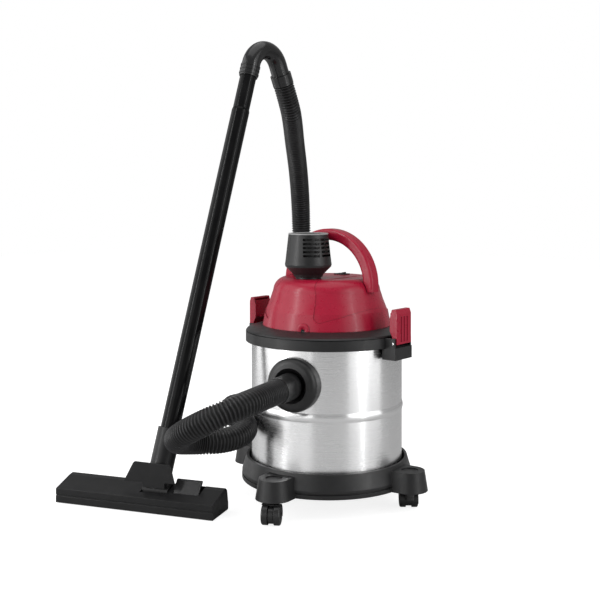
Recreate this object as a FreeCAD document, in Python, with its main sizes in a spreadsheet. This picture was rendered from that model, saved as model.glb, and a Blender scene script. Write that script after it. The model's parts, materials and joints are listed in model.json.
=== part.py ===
import FreeCAD, Part

import math
import os

import Sketcher
from FreeCAD import Placement, Rotation, Vector

# Wet and dry shop vacuum, in millimetres, +Z up.  The origin is on the floor under the tank's axis,
# the inlet side is -Y and the two latches are at +X and -X.

SIZES = {
    # tank and its rim
    "tank_radius": 140.0, "tank_wall": 1.0, "tank_floor_z": 48.0, "tank_top_z": 302.0,
    "bead_z": 173.5, "bead_height": 1.9, "bead_half": 8.0,
    "rim_radius": 151.0, "rim_low_z": 291.0, "rim_ledge_z": 306.0, "rim_top_z": 309.0,
    # dolly and castors
    "dolly_low_z": 38.0, "dolly_radius": 158.0, "dolly_knee_z": 52.0,
    "dolly_rim_radius": 149.5, "dolly_bore_radius": 145.0, "dolly_rim_z": 79.0,
    "castor_circle": 173.3, "pod_radius": 32.3, "pod_height": 35.0, "pod_taper": 9.0,
    "castor_wheel_radius": 17.0, "castor_wheel_width": 11.0, "castor_gap": 11.0,
    "castor_trail": 24.0, "stem_radius": 5.0, "axle_radius": 2.0,
    # head
    "head_top_z": 320.0, "cover_foot_radius": 119.5, "cover_wall": 3.0, "deck_z": 408.0,
    "handle_centre_x": 9.5, "handle_half_span": 101.5, "handle_foot_z": 390.0,
    "handle_rise": 108.0, "handle_thickness": 21.0, "handle_width": 25.0,
    "diffuser_x": -4.0, "diffuser_y": -50.5, "diffuser_bore": 17.5, "outlet_radius": 33.5,
    "switch_x": -5.0, "switch_y": 55.0,
    "motor_radius": 44.0, "shaft_radius": 4.0,
    # latches
    "latch_pin_x": 165.0, "latch_pin_z": 301.0, "latch_width": 46.0, "latch_top_z": 360.0,
    # inlet and hose
    "inlet_z": 231.0, "inlet_angle": -76.5, "flange_radius": 47.5, "inlet_bore": 21.0,
    "hose_radius": 21.0, "hose_wall": 3.0,
    # wand
    "wand_radius": 17.5, "wand_wall": 1.6,
    # floor nozzle
    "nozzle_turn": 19.2, "nozzle_half": 156.0, "nozzle_front": 38.0, "nozzle_back": 30.0,
    "rocker_radius": 17.0, "rocker_x": 32.0, "rocker_y": 3.0, "rocker_z": 31.0,
    "stub_lean": 10.0, "stub_reach": 29.5, "neck_radius": 21.5,
    "pedal_x": 92.5, "pedal_y": -9.0, "pedal_z": 31.0,
}

doc = FreeCAD.newDocument("shop_vacuum")
sheet = doc.addObject("Spreadsheet::Sheet", "Sizes")
for row, (alias, value) in enumerate(SIZES.items(), start=1):
    sheet.set(f"A{row}", alias)
    sheet.set(f"B{row}", str(value))
    sheet.setAlias(f"B{row}", alias)
doc.recompute()

NODES = []
Z_AXIS = Vector(0, 0, 1)


def size(text):
    """Value of a formula written with the sheet's aliases."""
    return float(sheet.evalExpression(text)) if isinstance(text, str) else float(text)


def bound(text):
    """The same formula as an expression for another object."""
    words = text.replace("(", " ( ").replace(")", " ) ").split()
    return " ".join("Sizes." + word if word in SIZES else word for word in words)


def bind(thing, **formulas):
    """Set properties, as plain values or as expressions on the sheet."""
    for name, formula in formulas.items():
        if isinstance(formula, str):
            thing.setExpression(name, bound(formula))
        else:
            setattr(thing, name, formula)
    return thing


def place(thing, x=0.0, y=0.0, z=0.0, turn=None):
    """Put a piece at a point, with an optional rotation; formulas stay bound to the sheet."""
    thing.Placement = Placement(Vector(size(x), size(y), size(z)), turn or Rotation())
    for axis, formula in (("x", x), ("y", y), ("z", z)):
        if isinstance(formula, str):
            thing.setExpression(f"Placement.Base.{axis}", bound(formula))
    return thing


def node(thing, name):
    """Make an object a sub-part of the vacuum, with the name that its file takes."""
    thing.Label = name
    NODES.append(thing)
    return thing


def box(name, length, width, height, x, y, z):
    """Box centred on x and y that stands on z."""
    thing = bind(doc.addObject("Part::Box", name), Length=length, Width=width, Height=height)
    corner_x = f"( {x} ) - ( {length} ) / 2"
    corner_y = f"( {y} ) - ( {width} ) / 2"
    return place(thing, corner_x, corner_y, z)


def rod(name, radius, height, x=0.0, y=0.0, z=0.0, turn=None):
    """Round bar from a point, along +Z unless it is turned."""
    thing = bind(doc.addObject("Part::Cylinder", name), Radius=radius, Height=height)
    return place(thing, x, y, z, turn)


def fuse(name, pieces):
    """One solid from several."""
    thing = doc.addObject("Part::MultiFuse", name)
    thing.Shapes = pieces
    thing.Refine = True
    return thing


def cut(name, base, tool):
    """The base without the tool; several tools are fused first."""
    thing = doc.addObject("Part::Cut", name)
    thing.Base = base
    if isinstance(tool, list):
        tools = fuse(name + "_tools", tool)
        tools.Refine = False
        tool = tools
    thing.Tool = tool
    return thing


def common(name, base, tool):
    """What two solids share."""
    thing = doc.addObject("Part::Common", name)
    thing.Base = base
    thing.Tool = tool
    return thing


def group(name, pieces):
    """Separate solids that share one node, such as a set of equal screws."""
    thing = doc.addObject("Part::Compound", name)
    thing.Links = pieces
    return thing


def rounded(name, base, radius, wanted):
    """The base with those edges rounded whose middle the test accepts."""
    doc.recompute()
    thing = doc.addObject("Part::Fillet", name)
    thing.Base = base
    edges = []
    for index, edge in enumerate(base.Shape.Edges, start=1):
        middle = edge.valueAt((edge.FirstParameter + edge.LastParameter) / 2)
        if wanted(middle, edge):
            edges.append((index, radius, radius))
    thing.Edges = edges
    return thing


def arc_through(start, through, end):
    """Counter-clockwise arc over three points, and the vertex number that lies at the start."""
    circle = Part.Circle(start, through, end)
    centre, radius = circle.Center, circle.Radius
    clockwise = (through - start).cross(end - through).z < 0
    first, last = (end, start) if clockwise else (start, end)
    angles = [math.atan2((spot - centre).y, (spot - centre).x) for spot in (first, last)]
    if angles[1] <= angles[0]:
        angles[1] += 2 * math.pi
    return Part.ArcOfCircle(Part.Circle(centre, Z_AXIS, radius), *angles), 2 if clockwise else 1


def outline(body, name, role, points):
    """Closed sketch on an origin plane.  A point is (x, y); (x, y, through) ends an arc."""
    plane = next(item for item in body.Origin.OriginFeatures if item.Role == role)
    sketch = body.newObject("Sketcher::SketchObject", name)
    sketch.AttachmentSupport = [(plane, "")]
    sketch.MapMode = "FlatFace"
    spots = [Vector(size(point[0]), size(point[1]), 0) for point in points]
    starts = []
    for index, point in enumerate(points):
        start, end = spots[index - 1], spots[index]
        if len(point) == 2:
            sketch.addGeometry(Part.LineSegment(start, end), False)
            starts.append(1)
        else:
            through = Vector(size(point[2][0]), size(point[2][1]), 0)
            arc, vertex = arc_through(start, through, end)
            sketch.addGeometry(arc, False)
            starts.append(vertex)
            sketch.addConstraint(Sketcher.Constraint("Radius", index, arc.Radius))
    for index, point in enumerate(points):
        following = (index + 1) % len(points)
        end = 3 - starts[index]
        sketch.addConstraint(Sketcher.Constraint("Coincident", index, end, following, starts[following]))
        for kind, formula, value, axis in (("DistanceX", point[0], spots[index].x, -2),
                                           ("DistanceY", point[1], spots[index].y, -1)):
            if abs(value) < 1e-9:
                sketch.addConstraint(Sketcher.Constraint("PointOnObject", index, end, axis))
                continue
            made = sketch.addConstraint(Sketcher.Constraint(kind, -1, 1, index, end, value))
            if isinstance(formula, str):
                sketch.setExpression(f"Constraints[{made}]", bound(formula))
    return sketch


def turned(name, points):
    """Body of revolution about +Z; the points are (radius, height)."""
    body = doc.addObject("PartDesign::Body", name)
    sketch = outline(body, name + "_profile", "XZ_Plane", points)
    spin = body.newObject("PartDesign::Revolution", name + "_turn")
    spin.Profile = sketch
    spin.ReferenceAxis = (sketch, ["V_Axis"])
    spin.Angle = 360
    return body


def padded(name, role, points, length, midplane=False, taper=0.0):
    """Prism from an outline; a midplane one goes half each way."""
    body = doc.addObject("PartDesign::Body", name)
    sketch = outline(body, name + "_profile", role, points)
    pad = body.newObject("PartDesign::Pad", name + "_pad")
    pad.Profile = sketch
    bind(pad, Length=length, TaperAngle=taper)
    if midplane:
        pad.Midplane = True
    return body


def ring(inner, outer, low, high):
    """Profile of a plain ring."""
    return [(inner, low), (outer, low), (outer, high), (inner, high)]


def disc(outer, low, high):
    """Profile of a plain disc."""
    return [(0, low), (outer, low), (outer, high), (0, high)]


def polar(radius, degrees):
    """Point at a radius and an angle from +X."""
    return radius * math.cos(math.radians(degrees)), radius * math.sin(math.radians(degrees))


# ---------------------------------------------------------------- dolly and castors

# each castor's place round the dolly, in degrees from +X
SIDES = {"right": 5.3, "rear": 95.3, "left": 185.3, "front": 275.3}
# where each castor happens to point: the direction of its trail, from +X
CASTOR_HEADING = {"right": 128, "rear": 195, "left": 65, "front": 300}
STEM_LENGTH = 30.0
HOOD_GAP = 0.6
WEB_THICKNESS = 9.0


def make_dolly():
    """Round tray with a sloped skirt and four pods over the castors."""
    skirt = turned("dolly_skirt", [
        (0, "tank_floor_z - 4"), ("dolly_bore_radius - 5", "tank_floor_z - 4"),
        ("dolly_bore_radius - 5", "dolly_low_z"), ("dolly_radius", "dolly_low_z"),
        ("dolly_radius", "dolly_low_z + 7"), ("dolly_radius - 2.5", "dolly_low_z + 7.5"),
        ("dolly_radius - 2.5", "dolly_low_z + 9.5"), ("dolly_radius - 0.4", "dolly_low_z + 10"),
        ("dolly_radius - 0.4", "dolly_knee_z"), ("dolly_rim_radius", "dolly_rim_z"),
        ("dolly_bore_radius", "dolly_rim_z"), ("dolly_bore_radius", "tank_floor_z"),
        (0, "tank_floor_z"),
    ])
    solids = [skirt]
    holes = []
    for side, degrees in SIDES.items():
        pod = padded("pod_" + side, "XY_Plane", [
            (-45, "0 - pod_radius"), (0, "0 - pod_radius"),
            ("pod_radius", 0, ("0.7071068 * pod_radius", "-0.7071068 * pod_radius")),
            (0, "pod_radius", ("0.7071068 * pod_radius", "0.7071068 * pod_radius")),
            (-45, "pod_radius"),
        ], "pod_height", taper="0 - pod_taper")
        x, y = polar(size("castor_circle"), degrees)
        place(pod, x, y, "dolly_low_z", Rotation(Z_AXIS, degrees))
        solids.append(pod)
        holes.append(rod("stem_hole_" + side, "stem_radius + 0.05", STEM_LENGTH, x, y,
                         "dolly_low_z - 2"))
        holes.append(rod("pod_dish_" + side, 15, 6, x, y, "dolly_low_z + pod_height - 2"))
    holes.append(turned("tank_seat", disc("dolly_bore_radius", "tank_floor_z", "dolly_rim_z + 5")))
    node(cut("dolly", fuse("dolly_solid", solids), holes), "dolly_base")


def make_castor(side, degrees):
    """Twin-wheel castor: a hooded yoke on a stem, an axle and two wheels."""
    x, y = polar(size("castor_circle"), degrees)
    heading = Placement(Vector(x, y, 0), Rotation(Z_AXIS, CASTOR_HEADING[side]))
    across = Rotation(Vector(1, 0, 0), 90)
    span = size("castor_gap + 2 * castor_wheel_width")
    reach = size("castor_wheel_radius")

    def axle_rod(name, radius, length):
        return rod(name, radius, length, "castor_trail", f"( {length} ) / 2",
                   "castor_wheel_radius", across)

    hood_outer = axle_rod("hood_outer_" + side, reach + 1.6, span)
    hood_inner = axle_rod("hood_inner_" + side, reach + HOOD_GAP, span + 4)
    hood = cut("hood_shell_" + side, hood_outer, hood_inner)
    keep = box("hood_keep_" + side, 30, span, 30, "castor_trail - 11", 0, "castor_wheel_radius - 7")
    hood = common("hood_" + side, hood, keep)
    web = axle_rod("web_" + side, reach - 2.5, WEB_THICKNESS)
    web_neck = box("web_neck_" + side, "castor_trail", WEB_THICKNESS, reach - 1,
                   "castor_trail / 2", 0, "castor_wheel_radius")
    boss = rod("stem_boss_" + side, 8, 16, 0, 0, "castor_wheel_radius + 2.6")
    stem = rod("stem_" + side, "stem_radius", STEM_LENGTH, 0, 0, "dolly_low_z - 4")
    yoke = cut("yoke_" + side, fuse("yoke_solid_" + side, [hood, web, web_neck, boss, stem]),
               axle_rod("axle_hole_" + side, "axle_radius", WEB_THICKNESS + 2))
    yoke.Placement = heading
    node(yoke, "castor_yoke_" + side)

    axle = axle_rod("axle_" + side, "axle_radius", span - 4)
    axle = group("axle_placed_" + side, [axle])
    axle.Placement = heading
    node(axle, "castor_axle_" + side)

    wheels = []
    for hand, sign in (("a", -1), ("b", 1)):
        wheel = turned(f"wheel_{side}_{hand}", [
            ("axle_radius + 0.05", 0), ("castor_wheel_radius", 0),
            ("castor_wheel_radius", "castor_wheel_width - 3"),
            ("castor_wheel_radius - 3", "castor_wheel_width",
             ("castor_wheel_radius - 0.9", "castor_wheel_width - 0.9")),
            ("axle_radius + 4", "castor_wheel_width"), ("axle_radius + 4", "castor_wheel_width - 1.5"),
            ("axle_radius + 0.05", "castor_wheel_width - 1.5"),
        ])
        place(wheel, "castor_trail", f"{sign} * castor_gap / 2", "castor_wheel_radius",
              Rotation(Vector(1, 0, 0), -90 * sign))
        wheels.append(wheel)
    wheels = group("wheels_" + side, wheels)
    wheels.Placement = heading
    node(wheels, "castor_wheels_" + side)


# ---------------------------------------------------------------- tank, rim and inlet

def inlet_turn():
    """Rotation that lays +Z along the inlet's outward direction."""
    x, y = polar(1.0, size("inlet_angle"))
    return Rotation(Z_AXIS, Vector(x, y, 0))


def make_tank():
    """Sheet steel drum with one rolled bead and a round hole for the inlet."""
    drum = turned("drum", [
        (0, "tank_floor_z"), ("tank_radius - 6", "tank_floor_z"),
        ("tank_radius", "tank_floor_z + 6", ("tank_radius - 1.8", "tank_floor_z + 1.8")),
        ("tank_radius", "bead_z - bead_half"),
        ("tank_radius", "bead_z + bead_half", ("tank_radius + bead_height", "bead_z")),
        ("tank_radius", "tank_top_z"), ("tank_radius - tank_wall", "tank_top_z"),
        ("tank_radius - tank_wall", "bead_z + bead_half"),
        ("tank_radius - tank_wall", "bead_z - bead_half",
         ("tank_radius - tank_wall + bead_height", "bead_z")),
        ("tank_radius - tank_wall", "tank_floor_z + 6"),
        ("tank_radius - 6", "tank_floor_z + tank_wall", ("tank_radius - 2.5", "tank_floor_z + 2.5")),
        (0, "tank_floor_z + tank_wall"),
    ])
    hole = rod("inlet_hole", 32, 60, 0, 0, 0)
    x, y = polar(110, size("inlet_angle"))
    place(hole, x, y, "inlet_z", inlet_turn())
    node(cut("tank_cut", drum, hole), "tank")


def make_rim():
    """Plastic ring on the tank's edge that carries the latches and the seal's seat."""
    profile = [
        ("tank_radius", "rim_low_z"), ("rim_radius", "rim_low_z"), ("rim_radius", "rim_top_z"),
        ("rim_radius - 5", "rim_top_z"), ("rim_radius - 5", "rim_ledge_z"),
        ("tank_radius - 4", "rim_ledge_z"), ("tank_radius - 4", "tank_top_z"),
        ("tank_radius", "tank_top_z"),
    ]
    node(turned("rim", profile), "tank_rim_ring")


def make_inlet():
    """Domed flange outside, deflector inside and the three screws that clamp them."""
    turn = inlet_turn()
    flange = turned("flange", [
        ("inlet_bore + 0.05", 118), (31.5, 118), (31.5, 128), ("flange_radius", 128),
        ("flange_radius", 147),
        (37, 160, ("flange_radius - 2.6", 155.4)), (31, 161), ("inlet_bore + 3", 152),
        ("inlet_bore + 0.05", 150),
    ])
    place(flange, 0, 0, "inlet_z", turn)
    core = turned("tank_core", disc("tank_radius", "inlet_z - 60", "inlet_z + 60"))
    spigot_keep = turned("spigot_keep", disc(31.4, 100, 145))
    place(spigot_keep, 0, 0, "inlet_z", turn)
    core_open = cut("core_open", core, spigot_keep)
    node(cut("flange_seated", flange, core_open), "inlet_flange")

    deflector = turned("deflector", [
        (31.9, 118), (36.5, 118), (36.5, 129), (41, 129), (41, 132), (31.9, 132),
    ])
    place(deflector, 0, 0, "inlet_z", turn)
    pieces = [deflector]
    shield = Placement(Vector(0, 0, size("inlet_z")), turn)
    cap = rod("deflector_cap", 38, 3)
    cap.Placement = shield.multiply(Placement(Vector(0, 0, 95), Rotation()))
    pieces.append(cap)
    for hand, offset in (("a", -35.7), ("b", 32.7)):
        post = doc.addObject("Part::Box", "deflector_post_" + hand)
        bind(post, Length=3, Width=26, Height=23)
        post.Placement = shield.multiply(Placement(Vector(offset, -13, 96.5), Rotation()))
        pieces.append(post)
    node(fuse("deflector_solid", pieces), "inlet_deflector")

    screws = []
    for degrees in (30, 150, 270):
        x, y = polar(39, degrees)
        screw = turned(f"inlet_screw_{degrees}", [
            (0, 122), (1.5, 122), (1.5, 126), (0, 126),
        ])
        screw.Placement = Placement(Vector(0, 0, size("inlet_z")), turn).multiply(
            Placement(Vector(x, y, 0), Rotation()))
        screws.append(screw)
    return screws


# ---------------------------------------------------------------- head

def cover_outer():
    """Outer curve of the red cover, as (radius, height) points from its foot to its deck."""
    return [
        ("cover_foot_radius", "head_top_z"), ("cover_foot_radius - 5.5", 350),
        ("cover_foot_radius - 12.5", 368), ("cover_foot_radius - 18", 385),
        ("cover_foot_radius - 38", "deck_z", ("cover_foot_radius - 24.5", 400)),
    ]


def shifted(points, inward, drop):
    """The same outline with every point moved towards the axis and down."""
    def move(point):
        moved = (f"{point[0]} - {inward}", f"{point[1]} - {drop}")
        return moved + (move(point[2]),) if len(point) == 3 else moved
    return [move(point) for point in points]


def backwards(points):
    """The outline from its last point to its first; an arc keeps its through point."""
    result = []
    through = None
    for point in reversed(points):
        result.append(point[:2] + ((through,) if through else ()))
        through = point[2] if len(point) == 3 else None
    return result


def make_cover():
    """Red moulded cover with a closed deck, two recessed side panels and the deck's openings."""
    outer = cover_outer()
    inner = shifted(outer, "cover_wall", "cover_wall")
    foot = ("cover_foot_radius - cover_wall", "head_top_z")
    shell = turned("cover_shell", outer + [(0, "deck_z"), (0, "deck_z - cover_wall")]
                   + backwards(inner)[:-1] + [foot])
    skin = turned("panel_skin", shifted(outer, 1.7, 0) + [
        (0, "deck_z - 1.7"), (0, "deck_z + 10"),
        ("cover_foot_radius + 10", "deck_z + 10"), ("cover_foot_radius + 10", "head_top_z"),
    ])
    # the seams of both turned solids are put at the rear, away from the panels
    for thing in (shell, skin):
        place(thing, turn=Rotation(Z_AXIS, 90))
    recesses = []
    for hand, sign in (("right", 1), ("left", -1)):
        window = padded("panel_window_" + hand, "XZ_Plane", [
            (sign * 35, 420), (sign * 36, 408), (sign * 44.3, 382), (sign * 48.3, 349),
            (sign * 60.1, 335, (sign * 51.6, 338.4)), (sign * 89, 345), (sign * 135, 368),
            (sign * 135, 420),
        ], 300, midplane=True)
        recesses.append(common("panel_recess_" + hand, skin if sign > 0 else copy_of(skin), window))
    port = rod("port_hole", "diffuser_bore + 2.5", 20, "diffuser_x", "diffuser_y", "deck_z - 10")
    switch_hole = box("switch_hole", 18, 13, 20, "switch_x", "switch_y", "deck_z - 10")
    node(cut("cover_cut", shell, recesses + [port, switch_hole, gland_hole()]), "motor_cover")


def copy_of(thing):
    """Second user of a finished solid."""
    link = doc.addObject("Part::Compound", thing.Name + "_copy")
    link.Links = [thing]
    return link


GLAND_TURN = 100.0
GLAND_Z = 375.0


def gland_rotation():
    """Rotation that lays +Z along the gland's outward direction."""
    x, y = polar(1.0, GLAND_TURN)
    return Rotation(Z_AXIS, Vector(x, y, 0))


def gland_hole():
    """Hole in the cover's rear shoulder where the mains cord leaves."""
    x, y = polar(80, GLAND_TURN)
    return rod("gland_hole", 6, 40, x, y, GLAND_Z, gland_rotation())


def make_gland():
    """Short rubber strain relief, with a bore for the cord."""
    gland = turned("gland", [
        (3.2, 90), (8, 90), (8, 97), (5.95, 97), (5.95, 99), (8.5, 99), (7, 112), (3.2, 112),
    ])
    place(gland, 0, 0, GLAND_Z, gland_rotation())
    node(cut("gland_seated", gland, doc.getObject("cover_cut")), "cable_gland")


def make_head_base():
    """Black lower half of the head: ring, floor and inner skirt."""
    node(turned("head_base_turn", [
        (62, "head_top_z - 8"), ("tank_radius - 10", "head_top_z - 8"),
        ("tank_radius - 10", "rim_low_z + 5"), ("tank_radius - 5", "rim_low_z + 5"),
        ("tank_radius - 5", "rim_top_z"), ("rim_radius - 3", "rim_top_z"),
        ("rim_radius - 3", "rim_top_z + 1.2"), ("rim_radius - 0.5", "rim_top_z + 1.2"),
        ("rim_radius - 3", "rim_top_z + 4"), ("cover_foot_radius + 4", "head_top_z"),
        (62, "head_top_z"),
    ]), "head_base")
    node(turned("gasket", ring("tank_radius - 3", "rim_radius - 5.5", "rim_ledge_z", "rim_top_z")),
         "rim_gasket")


def make_handle():
    """Arched carry handle over the deck, its feet cut to sit on the cover."""
    middle, top = "handle_centre_x", "handle_foot_z + handle_rise"
    spring = "handle_foot_z + handle_rise - handle_half_span"
    low = 386.0

    def side(reach, sign):
        return f"{middle} {sign} {reach}"

    def shoulder(reach, sign):
        return (f"{middle} {sign} 0.7071068 * ( {reach} )", f"{spring} + 0.7071068 * ( {reach} )")

    outer, inner = "handle_half_span", "( handle_half_span - handle_thickness )"
    arch = padded("arch", "XZ_Plane", [
        (side(outer, "+"), low), (side(outer, "+"), spring),
        (middle, top, shoulder(outer, "+")), (side(outer, "-"), spring, shoulder(outer, "-")),
        (side(outer, "-"), low), (side(inner, "-"), low), (side(inner, "-"), spring),
        (middle, top + " - handle_thickness", shoulder(inner, "-")),
        (side(inner, "+"), spring, shoulder(inner, "+")), (side(inner, "+"), low),
    ], "handle_width", midplane=True)
    half_width = size("handle_width") / 2
    soft = rounded("arch_soft", arch, 5.0,
                   lambda p, e: abs(abs(p.y) - half_width) < 0.01 and p.z > low + 1)
    core = turned("handle_core", cover_outer() + [(0, "deck_z"), (0, "head_top_z")])
    node(cut("handle_seated", soft, core), "carry_handle")


def make_switch():
    """Rocker switch on the rear of the deck."""
    bezel_block = box("bezel_block", 24, 19, 2, "switch_x", "switch_y", "deck_z")
    bezel_well = box("bezel_well", 18, 13, 14, "switch_x", "switch_y", "deck_z - 12")
    well_room = box("bezel_room", 15, 10.6, 20, "switch_x", "switch_y", "deck_z - 10")
    across = Rotation(Vector(1, 0, 0), 90)
    pin_hole = rod("switch_pin_hole", 1.55, 14, "switch_x", "switch_y + 7", "deck_z - 0.5", across)
    node(cut("bezel_cut", fuse("bezel_solid", [bezel_block, bezel_well]), [well_room, pin_hole]),
         "switch_bezel")
    rocker = padded("rocker", "XZ_Plane", [
        (-6.3, 1.2), (-6.3, -3), (6.3, -3), (6.3, 3.4), (0, 1.4),
    ], 10, midplane=True)
    place(rocker, "switch_x", "switch_y", "deck_z + 1.5")
    pin = rod("switch_pin", 1.5, 12.6, "switch_x", "switch_y + 6.3", "deck_z - 0.5", across)
    node(fuse("rocker_pinned", [rocker, pin]), "switch_rocker")


DIFFUSER_SLOTS = 5
SLOT_PITCH = 7.2


def make_diffuser():
    """Flared outlet diffuser in the blower port: two slotted panels and a sleeve behind them."""
    port = turned("port", [
        ("diffuser_bore", "deck_z - 12"), ("diffuser_bore + 2.4", "deck_z - 12"),
        ("diffuser_bore + 2.4", "deck_z"), ("diffuser_bore + 6", "deck_z"),
        ("diffuser_bore + 6", "deck_z + 3"), ("diffuser_bore", "deck_z + 3"),
    ])
    place(port, "diffuser_x", "diffuser_y", 0)
    node(port, "blower_port")
    low = "deck_z + 3.2"
    bell = turned("bell", [
        (14.5, "deck_z - 11"), ("diffuser_bore - 0.08", "deck_z - 11"), ("diffuser_bore - 0.08", low),
        (26, low), (28, "deck_z + 8"), (42, "deck_z + 22"), (43, "deck_z + 26"), (42.2, "deck_z + 31"),
        (36.5, "deck_z + 81"), ("outlet_radius", "deck_z + 81"), ("outlet_radius", "deck_z + 74"),
        (38.5, "deck_z + 31"), (39, "deck_z + 25"), (29, "deck_z + 13.46"), (29, "deck_z + 73.6"),
        (27.5, "deck_z + 73.6"), (27.5, "deck_z + 11.73"), (26, "deck_z + 10"), (14.5, "deck_z + 6"),
    ])
    place(bell, "diffuser_x", "diffuser_y", 0)
    cuts = []
    for degrees in (-18, 162):
        for column, swing in (("a", -25.5), ("b", 25.5)):
            for index in range(DIFFUSER_SLOTS):
                slot = doc.addObject("Part::Box", f"slot_{degrees + 18}_{column}_{index}")
                bind(slot, Length=20, Width=30, Height=4.2)
                spot = Placement(Vector(30, -15, size("deck_z + 41") + SLOT_PITCH * index), Rotation())
                centre = Vector(size("diffuser_x"), size("diffuser_y"), 0)
                slot.Placement = Placement(centre, Rotation(Z_AXIS, degrees + swing)).multiply(spot)
                cuts.append(slot)
    node(cut("bell_slotted", bell, cuts), "exhaust_diffuser")
    rim = turned("diffuser_rim", ring("outlet_radius", 36.5, "deck_z + 81", "deck_z + 83"))
    place(rim, "diffuser_x", "diffuser_y", 0)
    node(rim, "diffuser_rim")


MOTOR_X, MOTOR_Y = 0.0, 6.0


def make_motor():
    """Bypass motor and fan hung in the head, with its shaft, bearings, brushes and mount."""
    def at_motor(thing, name):
        return node(place(thing, MOTOR_X, MOTOR_Y, 0), name)

    at_motor(turned("plate", [
        (24, 305), (61.5, 305), (61.5, 312), (55, 312), (55, 308.5), (24, 308.5),
    ]), "motor_plate")
    at_motor(turned("mount", ring(50, 54.5, 309, 320)), "motor_gasket")
    at_motor(turned("fan_can", [
        (26, 309), (49.5, 309), (49.5, 345), (15, 345), (15, 343), (47.5, 343), (47.5, 311), (26, 311),
    ]), "fan_housing")
    at_motor(turned("fan", [
        ("shaft_radius", 316), (10, 316), (12, 318), (44, 322), (44, 338), (10, 338), ("shaft_radius", 338),
    ]), "impeller")
    at_motor(turned("frame", [
        (32, 345.5), ("motor_radius", 345.5), ("motor_radius", 385), (30, 395), (13.1, 395),
        (13.1, 388), (28, 388), (32, 383),
    ]), "motor_frame")
    at_motor(turned("rotor", [
        ("shaft_radius", 352), (28, 352), (28, 374), (14, 376), (14, 384), ("shaft_radius", 384),
    ]), "motor_rotor")
    at_motor(turned("shaft", disc("shaft_radius", 313, 396)), "motor_shaft")
    at_motor(turned("low_bearing", ring("shaft_radius + 0.05", 14.9, 343.2, 350)), "lower_bearing")
    at_motor(turned("top_bearing", ring("shaft_radius + 0.05", 13, 388.2, 395)), "upper_bearing")
    brushes = []
    for hand, sign in (("a", 1), ("b", -1)):
        brushes.append(box("brush_" + hand, 13, 6, 5, MOTOR_X + sign * 21, MOTOR_Y, 377.5))
    node(group("brush_pair", brushes), "carbon_brushes")


def make_float():
    """Float cage under the motor plate, its ball, and the filter sleeve over it."""
    cage = turned("cage", [
        (30, 205), (33, 205), (33, 300), (58, 300), (58, 304.8), (30, 304.8),
    ])
    floor = turned("cage_floor", disc(33, 202, 205))
    place(cage, MOTOR_X, MOTOR_Y, 0)
    place(floor, MOTOR_X, MOTOR_Y, 0)
    windows = []
    for index in range(4):
        window = box(f"cage_window_{index}", 80, 20, 70, 0, 0, 0)
        for axis in "xyz":
            window.setExpression(f"Placement.Base.{axis}", None)
        middle = Placement(Vector(MOTOR_X, MOTOR_Y, 215), Rotation(Z_AXIS, 45 * index))
        window.Placement = middle.multiply(Placement(Vector(-40, -10, 0), Rotation()))
        windows.append(window)
    node(cut("cage_open", fuse("cage_solid", [cage, floor]), windows), "float_cage")
    ball = doc.addObject("Part::Sphere", "ball")
    ball.Radius = 27
    node(place(ball, MOTOR_X, MOTOR_Y, 205 + 27), "float_ball")
    sleeve = turned("sleeve", ring(34, 44, 208, 299.5))
    node(place(sleeve, MOTOR_X, MOTOR_Y, 0), "foam_filter")


def make_head_screws():
    """Six screws up through the head's floor into the cover's foot."""
    screws = []
    for index in range(6):
        x, y = polar(size("cover_foot_radius") - 4, 30 + 60 * index)
        shank = rod(f"head_screw_{index}", 3.5, 2.2, x, y, "head_top_z - 10.2")
        screws.append(shank)
    node(group("head_screw_set", screws), "head_screws")


# ---------------------------------------------------------------- latches

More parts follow.
